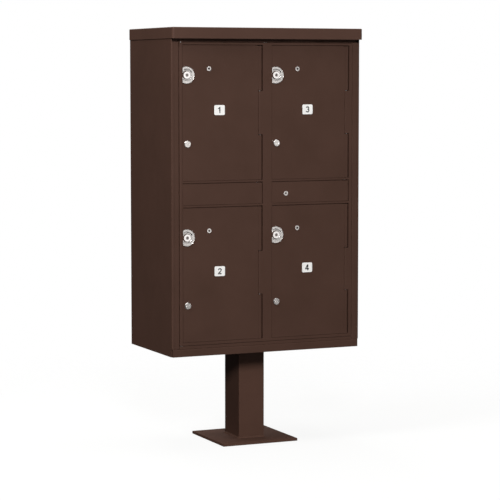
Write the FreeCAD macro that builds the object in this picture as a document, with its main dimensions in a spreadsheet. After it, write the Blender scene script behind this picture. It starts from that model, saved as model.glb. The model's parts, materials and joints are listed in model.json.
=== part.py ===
"""Pedestal-mounted cluster unit of four parcel lockers.

Millimetres. +X is to the right of someone facing the doors, +Y is towards the back, +Z is up.
The origin is the centre of the anchor plate's underside, which stands on the ground.
"""
import FreeCAD, Part
import os
import Sketcher

Vector = FreeCAD.Vector

# ---------------------------------------------------------------- sizes
SIZES = {
    # cabinet, measured without the hood's overhang
    "cabinet_width": 775.0,
    "cabinet_depth": 424.0,
    "cabinet_height": 1219.0,
    "side_sheet": 3.0,
    "back_sheet": 3.0,
    "back_corner": 2.5,
    "floor_sheet": 3.0,
    "shelf_sheet": 2.0,
    "bend_radius": 4.0,
    "side_return": 11.0,
    "skirt_height": 29.5,
    "skirt_inset": 0.5,
    "skirt_setback": 10.0,
    # hood
    "hood_sheet": 2.0,
    "hood_lip": 41.4,
    "hood_front": 20.0,
    "hood_side": 2.5,
    "hood_back": 5.0,
    "hood_corner": 9.0,
    "hood_edge": 3.0,
    "reveal": 14.0,
    "head_setback": 15.0,
    "head_sheet": 3.0,
    # fixed surround of the master frame
    "frame_margin": 31.5,
    "jamb_gap": 0.5,
    "jamb_wall": 2.5,
    "jamb_edge": 2.5,
    "sill_height": 10.9,
    "seam": 1.5,
    # master frame
    "frame_depth": 25.0,
    "side_stile": 12.7,
    "centre_stile": 37.4,
    "stile_wall": 2.5,
    "bottom_rail": 10.9,
    "middle_rail": 7.2,
    "top_rail": 8.0,
    "panel_height": 78.5,
    "stop_lap": 4.0,
    "stop_thick": 3.0,
    "stop_clearance": 0.4,
    "stop_end_gap": 6.0,
    "lip_root": 3.0,
    "pivot_pin": 7.0,
    "pivot_reach": 14.0,
    "pivot_end_gap": 1.0,
    "pivot_collar": 9.6,
    "pivot_inset": 6.35,
    "pivot_depth": 5.0,
    "pivot_round": 0.05,
    "running_gap": 0.1,
    # parcel doors
    "door_thick": 5.0,
    "gap_left": 0.8,
    "gap_right": 3.0,
    "gap_top": 3.0,
    "gap_bottom": 1.0,
    "strip_width": 14.0,
    "strip_depth": 11.0,
    "strip_corner": 4.0,
    "strip_groove": 1.0,
    "groove_depth": 0.5,
    "hinge_pin": 5.0,
    "knuckle_height": 162.0,
    "notch_end_gap": 2.0,
    "notch_side_gap": 1.5,
    # parcel lock, key ring, spanner plug and number plate on each door
    "lock_inset": 15.0,
    "lock_drop": 109.0,
    "lock_head": 27.0,
    "lock_proud": 7.0,
    "lock_barrel": 19.0,
    "barrel_gap": 0.1,
    "lock_core": 12.2,
    "core_recess": 0.4,
    "keyway_width": 2.0,
    "keyway_height": 8.5,
    "keyway_depth": 9.0,
    "cam_reach": 26.0,
    "cam_width": 14.0,
    "cam_thick": 3.0,
    "cam_clearance": 1.5,
    "cam_screw": 9.0,
    "cam_screw_height": 2.5,
    "escutcheon_size": 64.0,
    "escutcheon_hole": 33.0,
    "escutcheon_thick": 1.5,
    "ring_inset": 105.0,
    "ring_drop": 85.5,
    "ring_size": 17.0,
    "ring_bore": 6.0,
    "ring_proud": 1.5,
    "ring_sleeve": 10.0,
    "plug_inset": 19.0,
    "plug_drop": 363.0,
    "plug_size": 26.5,
    "plug_proud": 3.0,
    "plug_edge": 2.0,
    "plug_rim": 1.0,
    "plug_shank": 19.0,
    "plug_shank_length": 9.0,
    "spanner_hole": 3.5,
    "spanner_spacing": 12.5,
    "spanner_depth": 2.5,
    "plate_inset": 147.5,
    "plate_drop": 238.0,
    "plate_width": 42.0,
    "plate_height": 37.0,
    "plate_thick": 0.8,
    "plate_corner": 5.0,
    # master lock and its latch bar
    "master_inset": 57.5,
    "master_rise": 35.0,
    "master_ring": 17.0,
    "master_nose": 12.0,
    "master_proud": 1.5,
    "master_core": 7.6,
    "master_recess": 2.5,
    "keyway_wall": 1.0,
    "case_width": 54.0,
    "case_height": 50.0,
    "case_depth": 15.0,
    "crank_radius": 14.0,
    "crank_thick": 3.0,
    "crank_disc": 39.0,
    "crank_pin": 5.0,
    "crank_gap": 0.5,
    "bar_height": 22.0,
    "bar_thick": 4.0,
    "bar_rise": 4.0,
    "bar_slot": 6.8,
    "bar_slot_end": 1.0,
    "bar_clearance": 3.0,
    "bar_tip_gap": 2.0,
    "bar_tail": 22.0,
    "guide_gap": 0.4,
    "guide_sheet": 2.5,
    "guide_width": 12.0,
    "guide_inset": 40.0,
    # inside of the cabinet
    "shelf_gap": 9.0,
    "shelf_flange": 14.0,
    "divider_return": 12.0,
    "fit_gap": 0.3,
    # pedestal
    "anchor_plate_width": 310.0,
    "anchor_plate_depth": 310.0,
    "anchor_plate_thick": 10.0,
    "anchor_spacing_x": 254.0,
    "anchor_spacing_y": 254.0,
    "anchor_hole": 14.3,
    "column_width": 106.0,
    "column_depth": 137.0,
    "column_wall": 4.8,
    "column_corner": 3.0,
    "column_clear": 352.0,
    "cap_plate_width": 250.0,
    "cap_plate_depth": 250.0,
    "cap_plate_thick": 10.0,
    "bolt_spacing_x": 200.0,
    "bolt_spacing_y": 200.0,
    "bolt_shank": 12.0,
    "bolt_head": 19.0,
    "bolt_head_height": 7.5,
    "bolt_gap": 0.5,
}

doc = FreeCAD.newDocument("parcel_locker")
sheet = doc.addObject("Spreadsheet::Sheet", "Sizes")
for row, (alias, number) in enumerate(SIZES.items(), start=1):
    sheet.set(f"A{row}", alias)
    sheet.set(f"B{row}", str(number))
    sheet.setAlias(f"B{row}", alias)
doc.recompute()


class Term:
    """A length with the formula that gives it from the sheet's cells."""

    def __init__(self, number, formula):
        self.number = number
        self.formula = formula

    def __add__(self, other):
        return Term(self.number + number_of(other), f"({self.formula} + {formula_of(other)})")

    def __sub__(self, other):
        return Term(self.number - number_of(other), f"({self.formula} - {formula_of(other)})")

    def __mul__(self, factor):
        return Term(self.number * factor, f"({self.formula} * {factor})")

    def __truediv__(self, divisor):
        return Term(self.number / divisor, f"({self.formula} / {divisor})")

    def __neg__(self):
        return Term(-self.number, f"(0 - {self.formula})")


def number_of(value):
    return value.number if isinstance(value, Term) else float(value)


def formula_of(value):
    return value.formula if isinstance(value, Term) else str(float(value))


class Cells:
    """The sheet's cells by name, each as a Term."""

    def __getattr__(self, alias):
        return Term(SIZES[alias], f"Sizes.{alias}")


size = Cells()
ZERO = Term(0.0, "0")

# ---------------------------------------------------------------- levels and places
skirt_foot = size.anchor_plate_thick + size.column_clear
floor_top = skirt_foot + size.skirt_height
frame_foot = floor_top + size.sill_height + size.seam
roof_top = skirt_foot + size.cabinet_height
lip_foot = roof_top - size.hood_lip
frame_top = lip_foot - size.reveal
frame_height = frame_top - frame_foot
roof_under = roof_top - size.hood_sheet

half_width = size.cabinet_width / 2
front = -(size.cabinet_depth / 2)
back = size.cabinet_depth / 2
frame_left = size.frame_margin - half_width
frame_width = size.cabinet_width - size.frame_margin * 2
frame_back = front + size.frame_depth

row_gaps = size.gap_bottom + size.gap_top
column_gaps = size.gap_left + size.gap_right
rails = size.bottom_rail + size.top_rail + size.middle_rail * 2
door_height = (frame_height - rails - size.panel_height - row_gaps * 3) / 2
door_width = (frame_width - size.side_stile * 2 - size.centre_stile - column_gaps * 2) / 2

lower_opening = frame_foot + size.bottom_rail
lower_rail = lower_opening + row_gaps + door_height
panel_opening = lower_rail + size.middle_rail
upper_rail = panel_opening + row_gaps + size.panel_height
upper_opening = upper_rail + size.middle_rail
top_rail_foot = frame_top - size.top_rail

left_opening = frame_left + size.side_stile
opening_width = door_width + column_gaps
centre_stile_left = left_opening + opening_width
right_opening = centre_stile_left + size.centre_stile
right_stile_left = right_opening + opening_width

stop_front = front + size.door_thick + size.stop_clearance
inside_front = frame_back + size.shelf_gap
inside_left = size.side_sheet - half_width
inside_right = half_width - size.side_sheet
inside_back = back - size.back_sheet


# two lengths closer than this are the same
SAME_LENGTH = 0.01
# a cut that takes away less than this, in cubic millimetres, has missed
LEAST_CUT = 0.1
# how far a cutting outline runs past the metal
OVERSHOOT = 1.0


# ---------------------------------------------------------------- ways of making a piece
def bind(thing, name, value):
    """Set a property, or tie it to the sheet when the value is a Term."""
    if isinstance(value, Term):
        thing.setExpression(name, value.formula)
    else:
        setattr(thing, name, value)


def put(thing, x, y, z):
    """Place an object by its origin."""
    for axis, value in zip("xyz", (x, y, z)):
        thing.setExpression(f".Placement.Base.{axis}", formula_of(value))


def box(name, corner, extent):
    """A block from its lowest corner and its three lengths."""
    block = doc.addObject("Part::Box", name)
    for side, value in zip(("Length", "Width", "Height"), extent):
        bind(block, side, value)
    put(block, *corner)
    return block


# from a hexagon's width across flats to its corner radius
HEXAGON = 3 ** -0.5

ALONG_Y = FreeCAD.Rotation(Vector(1, 0, 0), -90)
ALONG_Z = FreeCAD.Rotation()

# the master crank swings this many degrees to each side of upright
CRANK_LEAN = 45.0
LEAN_SINE = 2 ** -0.5


def rod(name, foot, diameter, length, turn=ALONG_Y):
    """A cylinder from the centre of its foot, lying along +Y unless another turn is given."""
    cylinder = doc.addObject("Part::Cylinder", name)
    bind(cylinder, "Radius", diameter / 2)
    bind(cylinder, "Height", length)
    cylinder.Placement = FreeCAD.Placement(Vector(), turn)
    put(cylinder, *foot)
    return cylinder


def join(name, pieces):
    fused = doc.addObject("Part::MultiFuse", name)
    fused.Shapes = pieces
    fused.Refine = True
    return fused


def cut(name, base, tool):
    result = doc.addObject("Part::Cut", name)
    result.Base = base
    result.Tool = tool
    result.Refine = True
    return result


def gather(name, pieces):
    """Keep separate solids together as one sub-part."""
    group = doc.addObject("Part::Compound", name)
    group.Links = pieces
    return group


def body(name, x=ZERO, y=ZERO, z=ZERO):
    piece = doc.addObject("PartDesign::Body", name)
    put(piece, x, y, z)
    return piece


def sketch(piece, name, role):
    """A sketch on one of the body's own origin planes."""
    drawing = piece.newObject("Sketcher::SketchObject", f"{piece.Name}_{name}")
    planes = [feature for feature in piece.Origin.OriginFeatures if feature.Role == role]
    drawing.AttachmentSupport = [(planes[0], "")]
    drawing.MapMode = "FlatFace"
    return drawing


def fix_point(drawing, geometry, end, x, y):
    """Tie one point of a sketch to its two distances from the sketch's origin."""
    for kind, value in (("DistanceX", x), ("DistanceY", y)):
        datum = Sketcher.Constraint(kind, -1, 1, geometry, end, number_of(value))
        index = drawing.addConstraint(datum)
        if isinstance(value, Term):
            drawing.setExpression(f"Constraints[{index}]", value.formula)


def outline(drawing, points):
    """A closed outline of straight edges through the points."""
    corners = [Vector(number_of(x), number_of(y), 0) for x, y in points]
    edges = []
    for start, end in zip(corners, corners[1:] + corners[:1]):
        edges.append(drawing.addGeometry(Part.LineSegment(start, end)))
    for edge, following in zip(edges, edges[1:] + edges[:1]):
        drawing.addConstraint(Sketcher.Constraint("Coincident", edge, 2, following, 1))
    for edge, (x, y) in zip(edges, points):
        fix_point(drawing, edge, 1, x, y)


def rectangle(drawing, x0, y0, x1, y1):
    outline(drawing, [(x0, y0), (x1, y0), (x1, y1), (x0, y1)])


def circle(drawing, x, y, diameter):
    centre = Vector(number_of(x), number_of(y), 0)
    edge = drawing.addGeometry(Part.Circle(centre, Vector(0, 0, 1), number_of(diameter) / 2))
    fix_point(drawing, edge, 3, x, y)
    index = drawing.addConstraint(Sketcher.Constraint("Diameter", edge, number_of(diameter)))
    if isinstance(diameter, Term):
        drawing.setExpression(f"Constraints[{index}]", diameter.formula)


def pad(piece, drawing, length, backwards=False):
    feature = piece.newObject("PartDesign::Pad", f"{drawing.Name}_pad")
    feature.Profile = drawing
    bind(feature, "Length", length)
    feature.Reversed = backwards
    drawing.Visibility = False
    doc.recompute()
    return feature


def pocket(piece, drawing, depth=None, backwards=False):
    """Cut a sketch out of the body, right through it when no depth is given."""
    before = piece.Shape.Volume
    feature = piece.newObject("PartDesign::Pocket", f"{drawing.Name}_pocket")
    feature.Profile = drawing
    feature.Reversed = backwards
    if depth is None:
        feature.Type = "ThroughAll"
    else:
        bind(feature, "Length", depth)
    doc.recompute()
    if not feature.Shape.Volume < before - LEAST_CUT:
        raise RuntimeError(f"{feature.Name} cuts nothing")
    return feature


def edges_at(shape, axis, test):
    """The names of the edges parallel to an axis whose two ends both pass a test."""
    names = []
    for index, edge in enumerate(shape.Edges, start=1):
        ends = [vertex.Point for vertex in edge.Vertexes]
        if len(ends) != 2 or not all(test(point) for point in ends):
            continue
        across = [other for other in "xyz" if other != axis]
        if all(near(getattr(ends[0], other), getattr(ends[1], other)) for other in across):
            names.append(f"Edge{index}")
    return names


def near(value, target):
    return abs(value - number_of(target)) < SAME_LENGTH


def fillet(piece, radius, names):
    """Round the named edges of a body as it stands."""
    if not names:
        raise RuntimeError(f"{piece.Name} has no edge to round")
    base = piece.Tip
    feature = piece.newObject("PartDesign::Fillet", f"{base.Name}_round")
    feature.Base = (base, names)
    bind(feature, "Radius", radius)
    doc.recompute()


def fillet_along(piece, radius, axis, test):
    """Round the edges along one axis that pass a test, given in the body's own frame."""
    fillet(piece, radius, edges_at(piece.Tip.Shape, axis, test))


parts = {}


def finish(name, thing):
    """Give a finished sub-part its label."""
    thing.Label = name
    parts[name] = thing


# ---------------------------------------------------------------- pedestal
def pedestal():
    half_x = size.anchor_plate_width / 2
    half_y = size.anchor_plate_depth / 2
    plate = body("AnchorPlate")
    drawing = sketch(plate, "outline", "XY_Plane")
    rectangle(drawing, -half_x, -half_y, half_x, half_y)
    pad(plate, drawing, size.anchor_plate_thick)
    holes = sketch(plate, "holes", "XY_Plane")
    for side_x in (-1, 1):
        for side_y in (-1, 1):
            x = size.anchor_spacing_x / 2 * side_x
            y = size.anchor_spacing_y / 2 * side_y
            circle(holes, x, y, size.anchor_hole)
    pocket(plate, holes, backwards=True)
    finish("anchor_plate", plate)

    column_foot = size.anchor_plate_thick
    column_top = floor_top - size.floor_sheet - size.cap_plate_thick
    half_x = size.column_width / 2
    half_y = size.column_depth / 2
    column = body("Column", z=column_foot)
    drawing = sketch(column, "outline", "XY_Plane")
    rectangle(drawing, -half_x, -half_y, half_x, half_y)
    pad(column, drawing, column_top - column_foot)
    fillet_along(column, size.column_corner, "z",
                 lambda p: near(abs(p.x), half_x) and near(abs(p.y), half_y))
    inside = sketch(column, "inside", "XY_Plane")
    wall = size.column_wall
    rectangle(inside, wall - half_x, wall - half_y, half_x - wall, half_y - wall)
    pocket(column, inside, backwards=True)
    finish("pedestal_column", column)

    half_x = size.cap_plate_width / 2
    half_y = size.cap_plate_depth / 2
    cap = body("CapPlate", z=column_top)
    drawing = sketch(cap, "outline", "XY_Plane")
    rectangle(drawing, -half_x, -half_y, half_x, half_y)
    pad(cap, drawing, size.cap_plate_thick)
    holes = sketch(cap, "holes", "XY_Plane")
    for x, y in bolt_places():
        circle(holes, x, y, size.bolt_shank)
    pocket(cap, holes, backwards=True)
    finish("pedestal_cap_plate", cap)


def bolt_places():
    """The four bolts that hold the cabinet's floor down on the pedestal."""
    half_x = size.bolt_spacing_x / 2
    half_y = size.bolt_spacing_y / 2
    return [(half_x * a, half_y * b) for a in (-1, 1) for b in (-1, 1)]


def cabinet_bolts():
    pieces = []
    for number, (x, y) in enumerate(bolt_places(), start=1):
        foot = floor_top - size.floor_sheet - size.cap_plate_thick
        shank = rod(f"BoltShank{number}", (x, y, foot), size.bolt_shank, floor_top - foot, ALONG_Z)
        head = doc.addObject("Part::Prism", f"BoltHead{number}")
        head.Polygon = 6
        bind(head, "Circumradius", size.bolt_head * HEXAGON)
        bind(head, "Height", size.bolt_head_height)
        put(head, x, y, floor_top)
        pieces.append(join(f"Bolt{number}", [shank, head]))
    finish("cabinet_bolts", gather("CabinetBolts", pieces))


# ---------------------------------------------------------------- fixed cabinet
def floor_pan():
    half_x = inside_right - size.skirt_inset
    pan = body("FloorPan", z=skirt_foot)
    drawing = sketch(pan, "outline", "XY_Plane")
    rectangle(drawing, -half_x, front, half_x, inside_back - size.fit_gap)
    pad(pan, drawing, size.skirt_height)
    fillet_along(pan, size.bend_radius, "x", lambda p: near(p.y, front) and near(p.z, size.skirt_height))
    inside = sketch(pan, "inside", "XY_Plane")
    sheet_metal = size.floor_sheet
    low = front + sheet_metal
    high = inside_back - size.fit_gap - sheet_metal
    rectangle(inside, sheet_metal - half_x, low, half_x - sheet_metal, high)
    pocket(pan, inside, size.skirt_height - sheet_metal, backwards=True)
    holes = sketch(pan, "holes", "XY_Plane")
    for x, y in bolt_places():
        circle(holes, x, y, size.bolt_shank + size.bolt_gap)
    pocket(pan, holes, backwards=True)
    finish("floor_pan", pan)


def side_panel(name, side):
    """A side wall with a narrow return bent round the front corner; side is -1 left, +1 right."""
    height = roof_under - skirt_foot
    return_foot = size.skirt_height
    return_top = frame_top + size.seam - skirt_foot
    outer = half_width * side
    inner = (half_width - size.side_sheet) * side
    end = (half_width - size.side_return) * side
    panel = body(f"SidePanel{name}", z=skirt_foot)
    drawing = sketch(panel, "wall", "XY_Plane")
    rectangle(drawing, outer, front, inner, inside_back)
    pad(panel, drawing, height)
    bent = sketch(panel, "return", "XY_Plane")
    bent_back = front + size.side_sheet
    rectangle(bent, outer, front, end, bent_back)
    pad(panel, bent, return_top)
    notch = sketch(panel, "foot", "YZ_Plane")
    rectangle(notch, front - OVERSHOOT, ZERO - OVERSHOOT, front + size.skirt_setback, return_foot)
    pocket_both_ways(panel, notch)
    fillet_along(panel, size.bend_radius, "z", lambda p: near(p.x, outer) and near(p.y, front))
    finish(f"{name.lower()}_side_panel", panel)


def pocket_both_ways(piece, drawing):
    """Cut right through a body on both sides of the sketch's plane."""
    before = piece.Shape.Volume
    feature = piece.newObject("PartDesign::Pocket", f"{drawing.Name}_pocket")
    feature.Profile = drawing
    feature.Type = "ThroughAll"
    feature.Midplane = True
    doc.recompute()
    if not feature.Shape.Volume < before - LEAST_CUT:
        raise RuntimeError(f"{feature.Name} cuts nothing")


def back_panel():
    """The back wall, whose outer corners are rounded to clear the hood's."""
    panel = body("BackPanel", z=skirt_foot)
    drawing = sketch(panel, "outline", "XY_Plane")
    rectangle(drawing, -half_width, inside_back, half_width, back)
    pad(panel, drawing, roof_under - skirt_foot)
    fillet_along(panel, size.back_corner, "z", lambda p: near(abs(p.x), half_width) and near(p.y, back))
    finish("back_panel", panel)


def hood():
    """A shallow cap that hangs over the cabinet's top edge on all four sides."""
    half_x = half_width + size.hood_side
    low = front - size.hood_front
    high = back + size.hood_back
    metal = size.hood_sheet
    cap = body("Hood", z=lip_foot)
    drawing = sketch(cap, "outline", "XY_Plane")
    rectangle(drawing, -half_x, low, half_x, high)
    pad(cap, drawing, size.hood_lip)
    inside = sketch(cap, "inside", "XY_Plane")
    rectangle(inside, metal - half_x, low + metal, half_x - metal, high - metal)
    pocket(cap, inside, size.hood_lip - metal, backwards=True)
    for inset, radius in ((metal, size.hood_corner - metal), (ZERO, size.hood_corner)):
        reach = half_x - inset
        ends = (low + inset, high - inset)
        fillet_along(cap, radius, "z",
                     lambda p: near(abs(p.x), reach) and any(near(p.y, end) for end in ends))
    rim = [f"Edge{number}" for number, edge in enumerate(cap.Tip.Shape.Edges, start=1)
           if all(near(vertex.Point.z, size.hood_lip) for vertex in edge.Vertexes)]
    fillet(cap, size.hood_edge, rim)
    finish("hood", cap)


def jamb(name, side):
    """A hollow post beside the master frame."""
    outer = (half_width - size.side_return - size.jamb_gap) * side
    inner = (half_width - size.frame_margin + size.seam) * side
    wall = size.jamb_wall * side
    post = body(f"Jamb{name}", z=floor_top)
    height = frame_top + size.seam - floor_top
    drawing = sketch(post, "section", "XY_Plane")
    rectangle(drawing, outer, front, inner, frame_back)
    pad(post, drawing, height)
    fillet_along(post, size.jamb_edge, "z", lambda p: near(p.x, inner) and near(p.y, front))
    hollow = sketch(post, "hollow", "XY_Plane")
    rectangle(hollow, outer - wall, front + size.jamb_wall, inner + wall, frame_back - size.jamb_wall)
    pocket(post, hollow, backwards=True)
    finish(f"{name.lower()}_jamb", post)


pivot_x = frame_left + size.pivot_inset
pivot_y = front + size.pivot_depth


def sill():
    reach = half_width - size.frame_margin + size.seam - size.fit_gap
    rail = box("SillBar", (-reach, front, floor_top), (reach * 2, size.frame_depth, size.sill_height))
    hole = rod("SillPivotHole", (pivot_x, pivot_y, floor_top), size.pivot_pin, size.sill_height, ALONG_Z)
    finish("sill_rail", cut("Sill", rail, hole))


def head_rail():
    """An angle under the hood, set back from the front, with a lug for the upper pivot pin."""
    foot = frame_top + size.seam
    web_front = front + size.head_setback
    length = inside_right - inside_left - size.fit_gap * 2
    left_end = inside_left + size.fit_gap
    metal = size.head_sheet
    flange = box("HeadFlange", (left_end, web_front, foot), (length, frame_back - web_front, metal))
    web = box("HeadWeb", (left_end, web_front, foot), (length, metal, roof_under - foot))
    lug_left = pivot_x - size.pivot_inset
    lug_front = front + size.fit_gap
    lug = box("HeadLug", (lug_left, lug_front, foot), (size.pivot_inset * 2, frame_back - lug_front, metal))
    hole = rod("HeadPivotHole", (pivot_x, pivot_y, foot), size.pivot_pin, metal, ALONG_Z)
    finish("head_rail", cut("HeadRail", join("HeadAngle", [flange, web, lug]), hole))


def shelf(name, label, foot, flange_foot):
    """A full-width sheet with a flange along its front and its back."""
    left_end = inside_left + size.fit_gap
    length = inside_right - inside_left - size.fit_gap * 2
    depth = inside_back - size.fit_gap - inside_front
    metal = size.shelf_sheet
    pieces = [box(f"{name}Deck", (left_end, inside_front, foot), (length, depth, metal))]
    for edge, y in (("Front", inside_front), ("Back", inside_front + depth - metal)):
        corner = (left_end, y, flange_foot)
        pieces.append(box(f"{name}{edge}Flange", corner, (length, metal, size.shelf_flange)))
    finish(label, join(name, pieces))


def shelves():
    """The upper shelf's flanges turn down and the lower one's turn up, into the bay between them."""
    upper_foot = upper_opening - size.shelf_sheet
    shelf("UpperShelf", "upper_shelf", upper_foot, upper_opening - size.shelf_flange)
    shelf("LowerShelf", "lower_shelf", lower_rail, lower_rail)


def divider(name, foot, top):
    """A wall between left and right compartments, with a return along its front edge."""
    metal = size.shelf_sheet
    wall = body(f"Divider{name}", z=foot)
    drawing = sketch(wall, "section", "XY_Plane")
    half = metal / 2
    high = inside_back - size.fit_gap
    outline(drawing, [
        (-half, inside_front), (size.divider_return, inside_front),
        (size.divider_return, inside_front + metal), (half, inside_front + metal),
        (half, high), (-half, high)])
    pad(wall, drawing, top - foot)
    return wall


def dividers():
    walls = [divider("Upper", upper_opening, roof_under), divider("Lower", floor_top, lower_rail)]
    finish("compartment_dividers", gather("Dividers", walls))


# ---------------------------------------------------------------- master frame
def left_stile():
    """The pivot side: a solid bar whose front corner is rounded about the pivot's axis."""
    stile = body("LeftStile", frame_left, front, frame_foot)
    drawing = sketch(stile, "section", "XY_Plane")
    rectangle(drawing, ZERO, ZERO, size.side_stile, size.frame_depth)
    pad(stile, drawing, frame_height)
    fillet_along(stile, size.pivot_depth - size.pivot_round, "z", lambda p: near(p.x, 0) and near(p.y, 0))
    bore = size.pivot_pin + size.running_gap * 2
    depth = size.pivot_reach + size.pivot_end_gap
    lower = sketch(stile, "lower_bore", "XY_Plane")
    circle(lower, size.pivot_inset, size.pivot_depth, bore)
    pocket(stile, lower, depth, backwards=True)
    upper = sketch(stile, "upper_bore", "XY_Plane")
    upper.setExpression(".AttachmentOffset.Base.z", frame_height.formula)
    circle(upper, size.pivot_inset, size.pivot_depth, bore)
    pocket(stile, upper, depth)
    finish("frame_left_stile", stile)


def tube_stile(name, label, x, width):
    """A hollow stile."""
    stile = body(name, x, front, frame_foot)
    drawing = sketch(stile, "section", "XY_Plane")
    rectangle(drawing, ZERO, ZERO, width, size.frame_depth)
    pad(stile, drawing, frame_height)
    hollow = sketch(stile, "hollow", "XY_Plane")
    wall = size.stile_wall
    rectangle(hollow, wall, wall, width - wall, size.frame_depth - wall)
    pocket(stile, hollow, backwards=True)
    finish(label, stile)


def rail(name, x, z, thick, stop_above, stop_below):
    """A flat bar between two stiles, with lips behind the doors that close against it.

    The lips end short of the hinge strip, so that it can turn past them.
    """
    bar = body(name, x, front, z)
    section = sketch(bar, "section", "YZ_Plane")
    rectangle(section, ZERO, ZERO, size.frame_depth, thick)
    pad(bar, section, opening_width)
    lips = sketch(bar, "lips", "YZ_Plane")
    lip_front = stop_front - front
    lip_back = lip_front + size.stop_thick
    if stop_above:
        rectangle(lips, lip_front, thick - size.lip_root, lip_back, thick + size.gap_bottom + size.stop_lap)
    if stop_below:
        rectangle(lips, lip_front, -(size.gap_top + size.stop_lap), lip_back, size.lip_root)
    pad(bar, lips, opening_width - size.gap_right - size.strip_width - size.stop_end_gap)
    return bar


def frame_rails():
    rows = {
        "frame_bottom_rails": [("Bottom", frame_foot, size.bottom_rail, True, False)],
        "frame_middle_rails": [
            ("Lower", lower_rail, size.middle_rail, True, True),
            ("Upper", upper_rail, size.middle_rail, True, True)],
        "frame_top_rails": [("Top", top_rail_foot, size.top_rail, False, True)],
    }
    for label, levels in rows.items():
        bars = []
        for row, z, thick, above, below in levels:
            for side, x in (("Left", left_opening), ("Right", right_opening)):
                bars.append(rail(f"Rail{row}{side}", x, z, thick, above, below))
        finish(label, gather(f"{levels[0][0]}Rails", bars))


def hinge_knuckles():
    """The blocks on the stiles that stand in the notches of the doors and carry the hinge pins."""
    pieces = []
    for name, x, z in door_places():
        block = body(f"Knuckle{name}", x + hinge_offset, front, z + knuckle_rise)
        drawing = sketch(block, "section", "XY_Plane")
        half = size.strip_width / 2
        reach = half + size.gap_right
        rectangle(drawing, -half, ZERO, reach, size.strip_depth)
        pad(block, drawing, size.knuckle_height)
        fillet_along(block, size.strip_corner, "z", lambda p: near(p.x, -half))
        bore = sketch(block, "bore", "XY_Plane")
        circle(bore, ZERO, size.strip_depth / 2, size.hinge_pin)
        pocket(block, bore, backwards=True)
        pieces.append(block)
    finish("door_hinge_knuckles", gather("HingeKnuckles", pieces))


def hinge_pins():
    pieces = []
    for name, x, z in door_places():
        foot = (x + hinge_offset, front + size.strip_depth / 2, z)
        pieces.append(rod(f"HingePin{name}", foot, size.hinge_pin, door_height, ALONG_Z))
    finish("door_hinge_pins", gather("HingePins", pieces))


def pivot_pins():
    """Two pins with collars: the lower one carries the frame, the upper one guides it."""
    sill_top = floor_top + size.sill_height
    upper_length = size.pivot_reach + size.seam + size.head_sheet
    pins = (
        ("Lower", floor_top, frame_foot + size.pivot_reach - floor_top, sill_top),
        ("Upper", frame_top - size.pivot_reach, upper_length, frame_top + size.running_gap),
    )
    pieces = []
    for name, foot, length, collar_foot in pins:
        pin = rod(f"PivotPin{name}", (pivot_x, pivot_y, foot), size.pivot_pin, length, ALONG_Z)
        collar = rod(f"PivotCollar{name}", (pivot_x, pivot_y, collar_foot), size.pivot_collar,
                     size.seam - size.running_gap, ALONG_Z)
        pieces.append(join(f"Pivot{name}", [pin, collar]))
    finish("frame_pivot_pins", gather("PivotPins", pieces))


def middle_panel(name, x, has_lock):
    """The blank panel between an upper and a lower door."""
    height = size.panel_height
    panel = body(f"MiddlePanel{name}", x, front + size.stop_clearance, panel_opening + size.gap_bottom)
    drawing = sketch(panel, "outline", "XZ_Plane")
    rectangle(drawing, ZERO, ZERO, door_width, height)
    pad(panel, drawing, size.door_thick, backwards=True)
    if has_lock:
        hole = sketch(panel, "hole", "XZ_Plane")
        circle(hole, size.master_inset, size.master_rise, size.master_nose)
        pocket(panel, hole)
    finish(f"{name.lower()}_middle_panel", panel)


# ---------------------------------------------------------------- parcel doors
hinge_offset = door_width - size.strip_width / 2
notch_foot = (door_height - size.knuckle_height) / 2 - size.notch_end_gap
notch_top = (door_height + size.knuckle_height) / 2 + size.notch_end_gap
knuckle_rise = notch_foot + size.notch_end_gap


def door_places():
    """Each door's name and the lower left corner of its front face."""
    left = left_opening + size.gap_left
    right = right_opening + size.gap_left
    low = lower_opening + size.gap_bottom
    high = upper_opening + size.gap_bottom
    return [
        ("upper_left", left, high),
        ("lower_left", left, low),
        ("upper_right", right, high),
        ("lower_right", right, low),
    ]


def door(name, x, z):
    """A plate with a thick hinge strip down its right edge, notched round the hinge knuckle."""
    leaf = body(f"Door{name}", x, front, z)
    width = door_width
    height = door_height
    strip_left = width - size.strip_width
    notch_left = strip_left - size.notch_side_gap
    drawing = sketch(leaf, "outline", "XZ_Plane")
    outline(drawing, [
        (ZERO, ZERO), (width, ZERO), (width, notch_foot), (notch_left, notch_foot),
        (notch_left, notch_top), (width, notch_top), (width, height), (ZERO, height)])
    pad(leaf, drawing, size.door_thick, backwards=True)
    strips = sketch(leaf, "strips", "XZ_Plane")
    rectangle(strips, strip_left, ZERO, width, notch_foot)
    rectangle(strips, strip_left, notch_top, width, height)
    pad(leaf, strips, size.strip_depth, backwards=True)
    faces = (0, size.strip_depth)
    fillet_along(leaf, size.strip_corner, "z",
                 lambda p: near(p.x, width) and any(near(p.y, face) for face in faces))
    bore = sketch(leaf, "pin_bore", "XY_Plane")
    circle(bore, hinge_offset, size.strip_depth / 2, size.hinge_pin + size.running_gap * 2)
    pocket(leaf, bore, backwards=True)
    holes = sketch(leaf, "holes", "XZ_Plane")
    circle(holes, size.lock_inset, height - size.lock_drop, size.lock_barrel + size.barrel_gap * 2)
    circle(holes, size.ring_inset, height - size.ring_drop, size.ring_sleeve)
    circle(holes, size.plug_inset, height - size.plug_drop, size.plug_shank)
    pocket(leaf, holes)
    groove = sketch(leaf, "groove", "XZ_Plane")
    groove_left = strip_left - size.strip_groove
    rectangle(groove, groove_left, ZERO, strip_left, notch_foot)
    rectangle(groove, groove_left, notch_top, strip_left, height)
    pocket(leaf, groove, size.groove_depth)
    finish(f"{name}_door", leaf)


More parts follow.
